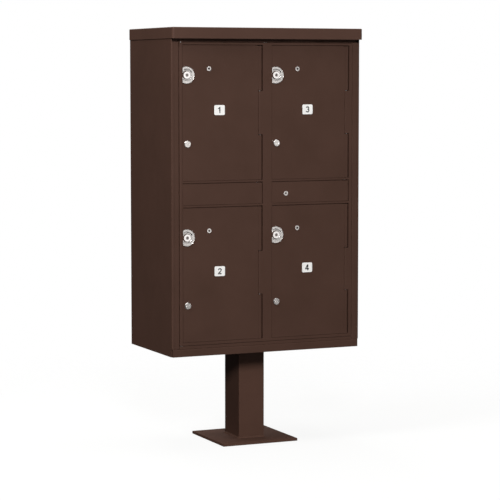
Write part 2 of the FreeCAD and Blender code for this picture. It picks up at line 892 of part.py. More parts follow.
def escutcheon(name, x, z):
    """A round trim plate cut off flush with the door's left edge."""
    lock_z = z + door_height - size.lock_drop
    thick = size.escutcheon_thick
    centre = (x + size.lock_inset, front - thick, lock_z)
    disc = rod(f"EscutcheonDisc{name}", centre, size.escutcheon_size, thick)
    hole = rod(f"EscutcheonHole{name}", centre, size.escutcheon_hole, thick)
    radius = size.escutcheon_size / 2
    waste = box(f"EscutcheonWaste{name}", (x - radius, front - thick, lock_z - radius),
                (radius, thick, size.escutcheon_size))
    ring = cut(f"EscutcheonRing{name}", disc, hole)
    finish(f"{name}_escutcheon", cut(f"Escutcheon{name}", ring, waste))


cam_front = frame_back + size.cam_clearance


def lock_cylinder(name, x, z):
    """The fixed shell of the parcel lock: a head in front of the door and a barrel behind."""
    centre_x = x + size.lock_inset
    centre_z = z + door_height - size.lock_drop
    face = front - size.lock_proud
    head = rod(f"LockHead{name}", (centre_x, face, centre_z), size.lock_head, size.lock_proud)
    barrel_back = cam_front - size.running_gap
    barrel = rod(f"LockBarrel{name}", (centre_x, front, centre_z), size.lock_barrel, barrel_back - front)
    bore = rod(f"LockBore{name}", (centre_x, face, centre_z), size.lock_core + size.running_gap * 2,
               barrel_back - face)
    shell = join(f"LockShell{name}", [head, barrel])
    finish(f"{name}_lock_cylinder", cut(f"LockCylinder{name}", shell, bore))


def lock_plug(name, x, z):
    """The turning core with its keyway, and behind it the cam, which hangs down when unlocked."""
    centre_x = x + size.lock_inset
    centre_z = z + door_height - size.lock_drop
    face = front - size.lock_proud + size.core_recess
    core = rod(f"PlugCore{name}", (centre_x, face, centre_z), size.lock_core, cam_front - face)
    half = size.cam_width / 2
    cam_hub = rod(f"CamHub{name}", (centre_x, cam_front, centre_z), size.cam_width, size.cam_thick)
    arm_length = size.cam_reach - half
    arm = box(f"CamArm{name}", (centre_x - half, cam_front, centre_z - arm_length),
              (size.cam_width, size.cam_thick, arm_length))
    tip = rod(f"CamTip{name}", (centre_x, cam_front, centre_z - arm_length), size.cam_width, size.cam_thick)
    screw = rod(f"CamScrew{name}", (centre_x, cam_front + size.cam_thick, centre_z), size.cam_screw,
                size.cam_screw_height)
    keyway = box(f"Keyway{name}", (centre_x - size.keyway_width / 2, face, centre_z - size.keyway_height / 2),
                 (size.keyway_width, size.keyway_depth, size.keyway_height))
    solid = join(f"PlugSolid{name}", [core, cam_hub, arm, tip, screw])
    finish(f"{name}_lock_plug", cut(f"LockPlug{name}", solid, keyway))


def key_ring(name, x, z):
    """The small ring round the hole for the carrier's key, with a sleeve through the door."""
    centre_x = x + size.ring_inset
    centre_z = z + door_height - size.ring_drop
    face = front - size.ring_proud
    flange = rod(f"RingFlange{name}", (centre_x, face, centre_z), size.ring_size, size.ring_proud)
    sleeve = rod(f"RingSleeve{name}", (centre_x, front, centre_z), size.ring_sleeve, size.door_thick)
    bore_length = size.door_thick + size.ring_proud
    bore = rod(f"RingBore{name}", (centre_x, face, centre_z), size.ring_bore, bore_length)
    finish(f"{name}_key_ring", cut(f"KeyRing{name}", join(f"RingSolid{name}", [flange, sleeve]), bore))


def spanner_plug(name, x, z):
    """A round plug with two spanner holes that closes the second lock position."""
    centre_x = x + size.plug_inset
    centre_z = z + door_height - size.plug_drop
    face = front - size.plug_proud
    edge_depth = size.plug_proud - size.plug_rim
    crown = doc.addObject("Part::Cone", f"PlugCrown{name}")
    bind(crown, "Radius1", size.plug_size / 2 - size.plug_edge)
    bind(crown, "Radius2", size.plug_size / 2)
    bind(crown, "Height", edge_depth)
    crown.Placement = FreeCAD.Placement(Vector(), ALONG_Y)
    put(crown, centre_x, face, centre_z)
    rim_foot = (centre_x, face + edge_depth, centre_z)
    rim = rod(f"PlugRim{name}", rim_foot, size.plug_size, size.plug_rim)
    shank = rod(f"PlugShank{name}", (centre_x, front, centre_z), size.plug_shank, size.plug_shank_length)
    holes = []
    for number, side in enumerate((-1, 1), start=1):
        x_hole = centre_x + size.spanner_spacing / 2 * side
        holes.append(rod(f"SpannerHole{number}{name}", (x_hole, face, centre_z), size.spanner_hole,
                         size.spanner_depth))
    solid = join(f"SpannerSolid{name}", [crown, rim, shank])
    finish(f"{name}_spanner_plug", cut(f"SpannerPlug{name}", solid, join(f"SpannerHoles{name}", holes)))


def number_plate(name, x, z):
    half_x = size.plate_width / 2
    half_z = size.plate_height / 2
    plate = body(f"NumberPlate{name}", x + size.plate_inset, front, z + door_height - size.plate_drop)
    drawing = sketch(plate, "outline", "XZ_Plane")
    rectangle(drawing, -half_x, -half_z, half_x, half_z)
    pad(plate, drawing, size.plate_thick)
    fillet_along(plate, size.plate_corner, "y", lambda p: near(abs(p.x), half_x) and near(abs(p.z), half_z))
    finish(f"{name}_number_plate", plate)


# ---------------------------------------------------------------- master lock
master_x = right_opening + size.gap_left + size.master_inset
master_z = panel_opening + size.gap_bottom + size.master_rise
panel_front = front + size.stop_clearance
case_front = panel_front + size.door_thick
case_back = case_front + size.case_depth
crank_front = case_back + size.crank_gap
bar_front = frame_back + size.bar_clearance


def master_lock():
    """The ring on the panel, the case behind it, and the plug with its crank disc.

    Unlocked, the crank's pin leans left by half its quarter turn.
    """
    face = panel_front - size.master_proud
    bore = size.master_core + size.running_gap * 2
    flange = rod("MasterFlange", (master_x, face, master_z), size.master_ring, size.master_proud)
    sleeve = rod("MasterSleeve", (master_x, panel_front, master_z), size.master_nose, size.door_thick)
    ring_bore = rod("MasterRingBore", (master_x, face, master_z), bore, size.master_proud + size.door_thick)
    ring = join("MasterRingSolid", [flange, sleeve])
    finish("master_key_ring", cut("MasterKeyRing", ring, ring_bore))

    case_corner = (master_x - size.case_width / 2, case_front, master_z - size.case_height / 2)
    block = box("MasterCaseBlock", case_corner, (size.case_width, size.case_depth, size.case_height))
    case_bore = rod("MasterCaseBore", (master_x, case_front, master_z), bore, size.case_depth)
    finish("master_lock_case", cut("MasterCase", block, case_bore))

    disc = rod("CrankDisc", (ZERO, crank_front, ZERO), size.crank_disc, size.crank_thick)
    pin_length = bar_front + size.bar_thick - crank_front
    pin = rod("CrankPin", (ZERO, crank_front, size.crank_radius), size.crank_pin, pin_length)
    crank = join("Crank", [disc, pin])
    crank.Placement = FreeCAD.Placement(Vector(), FreeCAD.Rotation(Vector(0, 1, 0), -CRANK_LEAN))
    put(crank, master_x, ZERO, master_z)
    core_face = face + size.master_recess
    core = rod("MasterCore", (master_x, core_face, master_z), size.master_core, crank_front - core_face)
    slit = size.master_core - size.keyway_wall * 2
    slit_corner = (master_x - size.keyway_width / 2, core_face, master_z - slit / 2)
    keyway = box("MasterKeyway", slit_corner, (size.keyway_width, size.keyway_depth, slit))
    finish("master_lock_plug", cut("MasterLockPlug", join("MasterPlugSolid", [core, crank]), keyway))


def latch_bar():
    """A flat bar behind the frame that slides right, behind the right jamb, when locked."""
    tip_x = frame_left + frame_width - size.bar_tip_gap
    pin_x = master_x - size.crank_radius * LEAN_SINE
    tail_x = pin_x - size.bar_tail
    foot = master_z + size.bar_rise
    bar = box("LatchFlat", (tail_x, bar_front, foot), (tip_x - tail_x, size.bar_thick, size.bar_height))
    slot_top = size.crank_radius + size.crank_pin / 2 + size.bar_slot_end
    slot_corner = (pin_x - size.bar_slot / 2, bar_front, foot)
    slot = box("LatchSlot", slot_corner, (size.bar_slot, size.bar_thick, slot_top - size.bar_rise))
    finish("master_latch_bar", cut("LatchBar", bar, slot))


def latch_bar_guides():
    """Two blocks on the back of the right middle panel, each with a window for the bar."""
    depth = bar_front + size.bar_thick + size.guide_gap + size.guide_sheet - case_front
    height = size.bar_height + (size.guide_gap + size.guide_sheet) * 2
    foot = master_z + size.bar_rise - size.guide_gap - size.guide_sheet
    window_depth = size.bar_thick + size.guide_gap * 2
    window_extent = (size.guide_width, window_depth, size.bar_height + size.guide_gap * 2)
    places = (
        ("Inner", master_x + size.case_width / 2 + size.guide_inset),
        ("Outer", right_stile_left - size.guide_inset - size.guide_width),
    )
    pieces = []
    for name, x in places:
        block = box(f"Guide{name}Block", (x, case_front, foot), (size.guide_width, depth, height))
        window_corner = (x, bar_front - size.guide_gap, foot + size.guide_sheet)
        window = box(f"Guide{name}Window", window_corner, window_extent)
        pieces.append(cut(f"Guide{name}", block, window))
    finish("latch_bar_guides", gather("Guides", pieces))


doc.recompute()
pedestal()
cabinet_bolts()
floor_pan()
side_panel("Left", -1)
side_panel("Right", 1)
back_panel()
hood()
jamb("Left", -1)
jamb("Right", 1)
sill()
head_rail()
shelves()
dividers()
left_stile()
tube_stile("CentreStile", "frame_centre_stile", centre_stile_left, size.centre_stile)
tube_stile("RightStile", "frame_right_stile", right_stile_left, size.side_stile)
frame_rails()
hinge_knuckles()
hinge_pins()
pivot_pins()
middle_panel("Left", left_opening + size.gap_left, False)
middle_panel("Right", right_opening + size.gap_left, True)
for place, x, z in door_places():
    door(place, x, z)
    escutcheon(place, x, z)
    lock_cylinder(place, x, z)
    lock_plug(place, x, z)
    key_ring(place, x, z)
    spanner_plug(place, x, z)
    number_plate(place, x, z)
master_lock()
latch_bar()
latch_bar_guides()
doc.recompute()

# ---------------------------------------------------------------- check and write
faults = [thing.Label for thing in doc.Objects if {"Invalid", "Error"} & set(thing.State)]
if faults:
    raise RuntimeError(f"not computed: {faults}")
for name, thing in parts.items():
    if thing.Shape.isNull() or not thing.Shape.isValid():
        raise RuntimeError(f"{name} has no valid shape")
os.makedirs("parts", exist_ok=True)
for name, thing in parts.items():
    thing.Shape.exportStep(f"parts/{name}.step")
print(len(parts), "sub-parts written")
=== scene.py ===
"""Looks of the pedestal-mounted unit of four parcel lockers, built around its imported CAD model.

Metres, in the CAD frame: +X is to the right of someone facing the doors, +Y towards the back, +Z up.
"""

import json
import math

import bmesh
import bpy
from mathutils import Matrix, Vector


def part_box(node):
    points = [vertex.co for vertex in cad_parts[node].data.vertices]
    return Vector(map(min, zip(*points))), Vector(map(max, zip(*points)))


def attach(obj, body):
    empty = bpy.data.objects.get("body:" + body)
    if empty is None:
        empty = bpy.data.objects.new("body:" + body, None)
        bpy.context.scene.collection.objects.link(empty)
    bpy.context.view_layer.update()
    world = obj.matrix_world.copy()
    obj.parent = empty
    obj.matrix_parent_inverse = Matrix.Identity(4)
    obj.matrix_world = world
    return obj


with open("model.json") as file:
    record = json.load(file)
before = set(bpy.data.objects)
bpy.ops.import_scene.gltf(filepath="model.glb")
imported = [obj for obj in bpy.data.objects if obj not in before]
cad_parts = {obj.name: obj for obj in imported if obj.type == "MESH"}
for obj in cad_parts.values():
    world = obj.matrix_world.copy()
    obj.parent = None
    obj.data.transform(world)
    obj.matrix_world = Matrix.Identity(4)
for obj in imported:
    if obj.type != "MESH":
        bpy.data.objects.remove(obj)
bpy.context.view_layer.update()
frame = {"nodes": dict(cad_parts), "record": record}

MM = 0.001
NUMBERS = {"upper_left": "1", "lower_left": "2", "upper_right": "3", "lower_right": "4"}


# ---------------------------------------------------------------- colours and nodes
def colour(code):
    """A colour given as sRGB hex, as the linear values that shaders take."""
    values = [int(code[place:place + 2], 16) / 255 for place in (1, 3, 5)]
    linear = [v / 12.92 if v <= 0.04045 else ((v + 0.055) / 1.055) ** 2.4 for v in values]
    return (*linear, 1.0)


def add(tree, kind, inputs=None, **settings):
    """A node of one kind with its settings; each input takes a value or the socket that feeds it."""
    node = tree.nodes.new(kind)
    for name, value in settings.items():
        setattr(node, name, value)
    for name, value in (inputs or {}).items():
        if isinstance(value, bpy.types.NodeSocket):
            tree.links.new(value, node.inputs[name])
        else:
            node.inputs[name].default_value = value
    return node


# socket numbers of the Mix node when it mixes colours
MIX_SHARE, MIX_FIRST, MIX_SECOND, MIXED = 0, 6, 7, 2


def new_material(name):
    """An empty material and its node tree."""
    made = bpy.data.materials.new(name)
    made.use_nodes = True
    made.node_tree.nodes.clear()
    return made, made.node_tree


def powder_coat(name, tint, dusty):
    """Polyester powder sprayed on sheet aluminium and baked.

    The melt leaves a fine orange peel, about 2 mm from crest to crest, a low satin gloss, and a
    film that varies a little in depth of colour from one area to the next. The peel keeps its
    real size, so it shows close up and melts together at a distance.
    """
    made, tree = new_material(name)
    place = add(tree, "ShaderNodeTexCoord").outputs["Object"]
    clouds = add(tree, "ShaderNodeTexNoise",
                 {"Vector": place, "Scale": 1 / (160 * MM), "Detail": 3.0, "Roughness": 0.55})
    film = add(tree, "ShaderNodeMapRange",
               {"Value": clouds.outputs["Fac"], "From Min": 0.3, "From Max": 0.7})
    # single grains of a lighter powder in the mix are far finer; each fleck is drawn 1.1 mm across
    flecks = add(tree, "ShaderNodeTexNoise",
                 {"Vector": place, "Scale": 1 / (1.1 * MM), "Detail": 2.0, "Roughness": 0.6})
    fleck = add(tree, "ShaderNodeMapRange",
                {"Value": flecks.outputs["Fac"], "From Min": 0.58, "From Max": 0.78, "To Max": 0.22})
    base = add(tree, "ShaderNodeMix",
               {MIX_SHARE: film.outputs["Result"], MIX_FIRST: colour(tint), MIX_SECOND: colour(dusty)},
               data_type="RGBA")
    speckled = add(tree, "ShaderNodeMix",
                   {MIX_SHARE: fleck.outputs["Result"], MIX_FIRST: base.outputs[MIXED],
                    MIX_SECOND: colour("#684b3e")}, data_type="RGBA")
    gloss = add(tree, "ShaderNodeMapRange",
                {"Value": clouds.outputs["Fac"], "From Min": 0.25, "From Max": 0.75, "To Min": 0.62,
                 "To Max": 0.72})
    peel = add(tree, "ShaderNodeTexNoise", {"Vector": place, "Scale": 1 / (2.0 * MM), "Detail": 1.5})
    grit = add(tree, "ShaderNodeTexNoise", {"Vector": place, "Scale": 1 / (0.6 * MM), "Detail": 1.0})
    waves = add(tree, "ShaderNodeBump",
                {"Height": peel.outputs["Fac"], "Strength": 0.35, "Distance": 0.05 * MM})
    fine = add(tree, "ShaderNodeBump",
               {"Height": grit.outputs["Fac"], "Strength": 0.25, "Distance": 0.02 * MM,
                "Normal": waves.outputs["Normal"]})
    shader = add(tree, "ShaderNodeBsdfPrincipled",
                 {"Base Color": speckled.outputs[MIXED], "Roughness": gloss.outputs["Result"],
                  "IOR": 1.5, "Specular IOR Level": 0.2, "Normal": fine.outputs["Normal"]})
    add(tree, "ShaderNodeOutputMaterial", {"Surface": shader.outputs["BSDF"]})
    return made


def rolled_aluminium():
    """Mill-finish sheet: faint rolling lines along its length, and a soft, slightly cloudy grey.

    Real rolling lines are much finer; these are 1.5 mm apart so that they show.
    """
    made, tree = new_material("mill_finish_aluminium")
    place = add(tree, "ShaderNodeTexCoord").outputs["Object"]
    stretched = add(tree, "ShaderNodeMapping",
                    {"Vector": place, "Scale": (1 / (90 * MM), 1 / (1.5 * MM), 1 / (1.5 * MM))})
    lines = add(tree, "ShaderNodeTexNoise",
                {"Vector": stretched.outputs["Vector"], "Scale": 1.0, "Detail": 3.0})
    gloss = add(tree, "ShaderNodeMapRange", {"Value": lines.outputs["Fac"], "To Min": 0.34, "To Max": 0.52})
    tone = add(tree, "ShaderNodeMix",
               {MIX_SHARE: lines.outputs["Fac"], MIX_FIRST: colour("#b9bbbd"),
                MIX_SECOND: colour("#d3d5d6")}, data_type="RGBA")
    bump = add(tree, "ShaderNodeBump",
               {"Height": lines.outputs["Fac"], "Strength": 0.2, "Distance": 0.02 * MM})
    shader = add(tree, "ShaderNodeBsdfPrincipled",
                 {"Base Color": tone.outputs[MIXED], "Metallic": 1.0, "Roughness": gloss.outputs["Result"],
                  "Normal": bump.outputs["Normal"]})
    add(tree, "ShaderNodeOutputMaterial", {"Surface": shader.outputs["BSDF"]})
    return made


def zinc_plate():
    """Steel plated with zinc in a bath: bluish grey and bright, with a faint mottle.

    The crystals of real plating are too fine to see; the mottle is 6 mm across so that it shows.
    """
    made, tree = new_material("zinc_plated_steel")
    place = add(tree, "ShaderNodeTexCoord").outputs["Object"]
    cells = add(tree, "ShaderNodeTexVoronoi", {"Vector": place, "Scale": 1 / (6 * MM)})
    tone = add(tree, "ShaderNodeMix",
               {MIX_SHARE: cells.outputs["Distance"], MIX_FIRST: colour("#a9adb0"),
                MIX_SECOND: colour("#c6c9cb")}, data_type="RGBA")
    gloss = add(tree, "ShaderNodeMapRange",
                {"Value": cells.outputs["Distance"], "To Min": 0.26, "To Max": 0.4})
    bump = add(tree, "ShaderNodeBump",
               {"Height": cells.outputs["Distance"], "Strength": 0.15, "Distance": 0.03 * MM})
    shader = add(tree, "ShaderNodeBsdfPrincipled",
                 {"Base Color": tone.outputs[MIXED], "Metallic": 1.0, "Roughness": gloss.outputs["Result"],
                  "Normal": bump.outputs["Normal"]})
    add(tree, "ShaderNodeOutputMaterial", {"Surface": shader.outputs["BSDF"]})
    return made


# real lathe marks are 0.1 or 0.2 mm apart; these are drawn as far apart as they need to show
FACING_PITCH, FACING_ROUGHNESS = 3.2 * MM, 0.2
CHROME_PITCH, CHROME_ROUGHNESS = 3.0 * MM, 0.14
DARKENING_EDGE = 0.6 * MM


def turned_metal(name, centre, pitch, dark, light, rough, darkened_within=0.0):
    """Metal faced on a lathe: rings about one centre, painted lighter and darker in turn as painted
    highlights.

    Inside the darkened radius it is one darker grey: painted shade at the edge of a key ring's bore, and a
    darker grey over the face of a lock's plug.
    """
    made, tree = new_material(name)
    place = add(tree, "ShaderNodeTexCoord").outputs["Object"]
    from_centre = add(tree, "ShaderNodeVectorMath", {0: place, 1: tuple(centre)}, operation="SUBTRACT")
    flat = add(tree, "ShaderNodeVectorMath",
               {0: from_centre.outputs["Vector"], 1: (1.0, 0.0, 1.0)}, operation="MULTIPLY")
    radius = add(tree, "ShaderNodeVectorMath", {0: flat.outputs["Vector"]}, operation="LENGTH")
    turns = add(tree, "ShaderNodeMath", {0: radius.outputs["Value"], 1: 1 / pitch}, operation="MULTIPLY")
    tool_marks_and_painted_glints = add(tree, "ShaderNodeTexNoise",
               {"W": turns.outputs["Value"], "Scale": 1.0, "Detail": 2.0}, noise_dimensions="1D")
    # painted highlights: the colour swings from a dark to a light grey ring by ring, for the glint of each
    # ring
    tone = add(tree, "ShaderNodeMix",
               {MIX_SHARE: tool_marks_and_painted_glints.outputs["Fac"], MIX_FIRST: colour(dark), MIX_SECOND: colour(light)},
               data_type="RGBA")
    # one darker grey inside the radius: painted shade round a key ring's bore, and a plain darker grey over
    # a lock plug's core
    centre_darkening = add(tree, "ShaderNodeMapRange",
               {"Value": radius.outputs["Value"], "From Min": darkened_within, "From Max": darkened_within + DARKENING_EDGE,
                "To Min": 1.0, "To Max": 0.0})
    darkened_centre = add(tree, "ShaderNodeMix",
               {MIX_SHARE: centre_darkening.outputs["Result"], MIX_FIRST: tone.outputs[MIXED],
                MIX_SECOND: colour("#857d7a")}, data_type="RGBA")
    gloss = add(tree, "ShaderNodeMapRange",
                {"Value": tool_marks_and_painted_glints.outputs["Fac"], "From Min": 0.3, "From Max": 0.7, "To Min": rough,
                 "To Max": rough * 1.7})
    bump = add(tree, "ShaderNodeBump",
               {"Height": tool_marks_and_painted_glints.outputs["Fac"], "Strength": 0.3, "Distance": 0.03 * MM})
    shader = add(tree, "ShaderNodeBsdfPrincipled",
                 {"Base Color": darkened_centre.outputs[MIXED], "Metallic": 1.0, "Roughness": gloss.outputs["Result"],
                  "Normal": bump.outputs["Normal"]})
    add(tree, "ShaderNodeOutputMaterial", {"Surface": shader.outputs["BSDF"]})
    return made


def gloss_plastic(name, clean, handled, low, high):
    """Moulded plastic or printed ink: an even colour, a little duller where weather reaches it."""
    made, tree = new_material(name)
    place = add(tree, "ShaderNodeTexCoord").outputs["Object"]
    marks = add(tree, "ShaderNodeTexNoise", {"Vector": place, "Scale": 1 / (9 * MM), "Detail": 4.0})
    tone = add(tree, "ShaderNodeMix",
               {MIX_SHARE: marks.outputs["Fac"], MIX_FIRST: colour(clean), MIX_SECOND: colour(handled)},
               data_type="RGBA")
    gloss = add(tree, "ShaderNodeMapRange", {"Value": marks.outputs["Fac"], "To Min": low, "To Max": high})
    shader = add(tree, "ShaderNodeBsdfPrincipled",
                 {"Base Color": tone.outputs[MIXED], "Roughness": gloss.outputs["Result"], "IOR": 1.49})
    add(tree, "ShaderNodeOutputMaterial", {"Surface": shader.outputs["BSDF"]})
    return made


# ---------------------------------------------------------------- finishes
BRONZE = powder_coat("bronze_powder_coat", "#4c342a", "#473026")
# the hood and the pedestal wear the same bronze as the doors, painted a shade lighter: painted light, for
# the brighter light that falls on them
HOOD_COAT_PAINTED_LIGHTER = powder_coat("bronze_powder_coat_hood_painted_lighter", "#51382e", "#4c342a")
PEDESTAL_COAT_PAINTED_LIGHTER = powder_coat("bronze_powder_coat_pedestal_painted_lighter", "#573c31", "#51382d")
ALUMINIUM = rolled_aluminium()
ZINC = zinc_plate()
WHITE = gloss_plastic("white_gloss_plastic", "#fdfcfa", "#f6f4f0", 0.22, 0.36)
INK = gloss_plastic("black_screen_print_ink", "#121212", "#1c1b1a", 0.45, 0.6)


def give(piece, finish):
    """Put one finish on the whole of a piece."""
    piece.data.materials.clear()
    piece.data.materials.append(finish)


def middle(node):
    """The centre of a CAD node's box."""
    low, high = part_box(node)
    return (Vector(low) + Vector(high)) / 2


def turning_centre(label):
    """The axis that a round piece was turned on: the lock's own axis for what surrounds a lock."""
    for ending in ("escutcheon", "lock_plug"):
        if label.endswith(ending):
            door = label[:-len(ending)]
            return middle("master_key_ring" if door == "master_" else f"{door}lock_cylinder")
    return middle(label)


# how far from the centre the metal is painted darker: over a lock's core, and at the edge of a ring's bore
# as painted shade
CORE_RADIUS = 6.2 * MM
RING_BORE = 4.2 * MM

nodes = frame["nodes"]
slots = {entry["node"]: entry["material_slot"] for entry in frame["record"]["subparts"]}

for label, piece in nodes.items():
    slot = slots.get(label)
    if slot == "mill_aluminium":
        give(piece, ALUMINIUM)
    elif slot == "zinc_plated_steel":
        give(piece, ZINC)
    elif slot == "white_plate":
        give(piece, WHITE)
    elif slot == "brushed_stainless":
        darkened_within = RING_BORE if label.endswith("key_ring") else 0.0
        give(piece, turned_metal(f"faced_stainless_{label}", turning_centre(label), FACING_PITCH,
                                 "#a8a29e", "#fbf6f2", FACING_ROUGHNESS, darkened_within))
    elif slot == "lock_chrome":
        darkened_within = CORE_RADIUS if label.endswith("lock_plug") else 0.0
        give(piece, turned_metal(f"chromed_brass_{label}", turning_centre(label), CHROME_PITCH,
                                 "#b5afac", "#fbf7f4", CHROME_ROUGHNESS, darkened_within))
    elif label in ("anchor_plate", "pedestal_column"):
        give(piece, PEDESTAL_COAT_PAINTED_LIGHTER)
    elif label == "hood":
        give(piece, HOOD_COAT_PAINTED_LIGHTER)
    else:
        give(piece, BRONZE)

# ---------------------------------------------------------------- flat printed shapes
INK_DEPTH = 0.12 * MM


def put_in(piece, body):
    """Hang a finished piece on its body."""
    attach(piece, body)


def build(name, shape, finish):
    """Turn a finished bmesh into a piece with one finish."""
    bmesh.ops.recalc_face_normals(shape, faces=shape.faces)
    mesh = bpy.data.meshes.new(name)
    shape.to_mesh(mesh)
    shape.free()
    piece = bpy.data.objects.new(name, mesh)
    bpy.context.scene.collection.objects.link(piece)
    give(piece, finish)
    return piece


def bearing_point(centre, radius, bearing):
    """A point of a front view at a bearing in degrees clockwise from the top."""
    angle = math.radians(bearing)
    return Vector((centre[0] + radius * math.sin(angle), centre[1] + radius * math.cos(angle)))


def arc(centre, radius, start, end, step=6):
    """Points along a circle from one bearing to another, no more than a step of degrees apart."""
    count = max(2, math.ceil(abs(end - start) / step))
    return [bearing_point(centre, radius, start + (end - start) * i / count) for i in range(count + 1)]


def ribbon(shape, path, width, face):
    """A flat stroke of ink on a face that looks to the front, with mitred corners."""
    top = face - INK_DEPTH
    columns = []
    for i, point in enumerate(path):
        before = (point - path[i - 1]).normalized() if i else (path[1] - point).normalized()
        after = (path[i + 1] - point).normalized() if i + 1 < len(path) else before
        side_before, side_after = Vector((-before.y, before.x)), Vector((-after.y, after.x))
        side = (side_before + side_after).normalized()
        side *= width / 2 / side.dot(side_before)
        corners = ((point + side, face), (point - side, face), (point - side, top), (point + side, top))
        columns.append([shape.verts.new((spot.x, depth, spot.y)) for spot, depth in corners])
    for here, there in zip(columns, columns[1:]):
        for k in range(4):
            shape.faces.new((here[k], there[k], there[(k + 1) % 4], here[(k + 1) % 4]))
    shape.faces.new(columns[0])
    shape.faces.new(columns[-1])


# ---------------------------------------------------------------- numbers on the plates
DIGIT_HEIGHT = 23 * MM
STROKE = 0.18
TOP, FOOT = 1 - STROKE / 2, STROKE / 2
BOWL = (TOP - FOOT) / 4


def digit_strokes(digit):
    """Centre lines of a plain bold digit one unit high, standing on zero."""
    if digit == "1":
        return [[(-0.22, 0.70), (0.05, TOP), (0.05, 0.0)]]
    if digit == "2":
        crook = [tuple(p) for p in arc((0.0, TOP - 0.24), 0.24, -80, 120)]
        return [crook + [(-0.25, FOOT + 0.03)], [(-0.32, FOOT), (0.29, FOOT)]]
    if digit == "3":
        upper = [tuple(p) for p in arc((0.0, TOP - BOWL), BOWL, -70, 180)]
        lower = [tuple(p) for p in arc((0.0, FOOT + BOWL), BOWL, 0, 250)]
        return [[(x * 1.15, z) for x, z in upper], [(x * 1.2, z) for x, z in lower]]
    return [[(0.06, TOP), (-0.27, 0.29)], [(-0.35, 0.27), (0.33, 0.27)], [(0.12, 1.0), (0.12, 0.0)]]


for door, digit in NUMBERS.items():
    low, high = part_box(f"{door}_number_plate")
    across = (low[0] + high[0]) / 2
    foot = (low[2] + high[2] - DIGIT_HEIGHT) / 2
    printed = bmesh.new()
    for stroke in digit_strokes(digit):
        path = [Vector((across + x * DIGIT_HEIGHT, foot + z * DIGIT_HEIGHT)) for x, z in stroke]
        ribbon(printed, path, STROKE * DIGIT_HEIGHT, low[1])
    put_in(build(f"{door}_plate_digit", printed, INK), f"{door}_door")

# ---------------------------------------------------------------- marks and lips on the lock trim
TURN_MARK_RADIUS = 22.5 * MM
TURN_MARK_WIDTH = 2.0 * MM
ARROW_HALF, ARROW_LENGTH = 3.4 * MM, 7 * MM
TICK_REACH, TICK_WIDTH = 2.2 * MM, 1.1 * MM
# in degrees, clockwise from the top
TURN_START, TURN_END = -30, 52
TICK_BEARINGS = (112, 124, 136, 148)
FINE_STEP = 4
LIP = 0.9 * MM
LIP_HEIGHT = 0.7 * LIP
LIP_SPACING = 11.5 * MM
LIP_SIDES = 8


def arrow_head(shape, centre, radius, bearing, face):
    """A triangle of ink that points clockwise along a circle."""
    outward = bearing_point((0, 0), 1, bearing)
    along = bearing_point((0, 0), 1, bearing + 90)
    base = bearing_point(centre, radius, bearing)
    corners = [base + outward * ARROW_HALF, base + along * ARROW_LENGTH, base - outward * ARROW_HALF]
    rear = [shape.verts.new((c.x, face, c.y)) for c in corners]
    front = [shape.verts.new((c.x, face - INK_DEPTH, c.y)) for c in corners]
    shape.faces.new(front)
    shape.faces.new(rear)
    for i in range(3):
        j = (i + 1) % 3
        shape.faces.new((front[j], front[i], rear[i], rear[j]))


def lip(shape, centre, radius, reach, face):
    """A rolled lip round a plate that is cut off straight at a distance to the left of its centre."""
    spare = 90 if radius <= reach else math.degrees(math.asin(reach / radius))
    columns = []
    for spot in arc((0, 0), radius, -spare, 180 + spare, FINE_STEP):
        outward = spot.normalized()
        ring = []
        for k in range(LIP_SIDES + 1):
            angle = math.pi * k / LIP_SIDES
            away = spot + outward * LIP * math.cos(angle)
            depth = face - LIP_HEIGHT * math.sin(angle)
            ring.append(shape.verts.new((centre[0] + away.x, depth, centre[1] + away.y)))
        columns.append(ring)
    for here, there in zip(columns, columns[1:]):
        for k in range(LIP_SIDES + 1):
            n = (k + 1) % (LIP_SIDES + 1)
            shape.faces.new((here[k], there[k], there[n], here[n]))
    shape.faces.new(columns[0])
    shape.faces.new(columns[-1])


for door in NUMBERS:
    low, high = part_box(f"{door}_escutcheon")
    head = middle(f"{door}_lock_cylinder")
    centre = (head.x, head.z)
    face = low[1]
    marks = bmesh.new()
    turn = arc(centre, TURN_MARK_RADIUS, TURN_START, TURN_END, FINE_STEP)
    ribbon(marks, turn, TURN_MARK_WIDTH, face)
    arrow_head(marks, centre, TURN_MARK_RADIUS, TURN_END, face)
    for bearing in TICK_BEARINGS:
        tick = [bearing_point(centre, TURN_MARK_RADIUS + shift, bearing)
                for shift in (-TICK_REACH, TICK_REACH)]
        ribbon(marks, tick, TICK_WIDTH, face)
    put_in(build(f"{door}_turn_marks", marks, INK), f"{door}_door")
    lips = bmesh.new()
    outer = (high[2] - low[2]) / 2 - LIP
    for radius in (outer, outer - LIP_SPACING):
        lip(lips, centre, radius, centre[0] - low[0], face)
    rolled = build(f"{door}_escutcheon_lips", lips, nodes[f"{door}_escutcheon"].data.materials[0])
    rolled.data.shade_smooth()
    put_in(rolled, f"{door}_door")

# ---------------------------------------------------------------- weld at the foot of the column
WELD_LEG = 6 * MM
WELD_ROOT = 0.5 * MM
WELD_RIPPLE = 3.2 * MM
# the share that each ripple adds to the leg, and the share of a hollow curve in the section
WELD_SWELL = 0.12
WELD_HOLLOW = 0.55
WELD_SIDES = 5
STATIONS_PER_RIPPLE = 4
COLUMN_CORNER = 3 * MM
CORNER_STEPS = 3


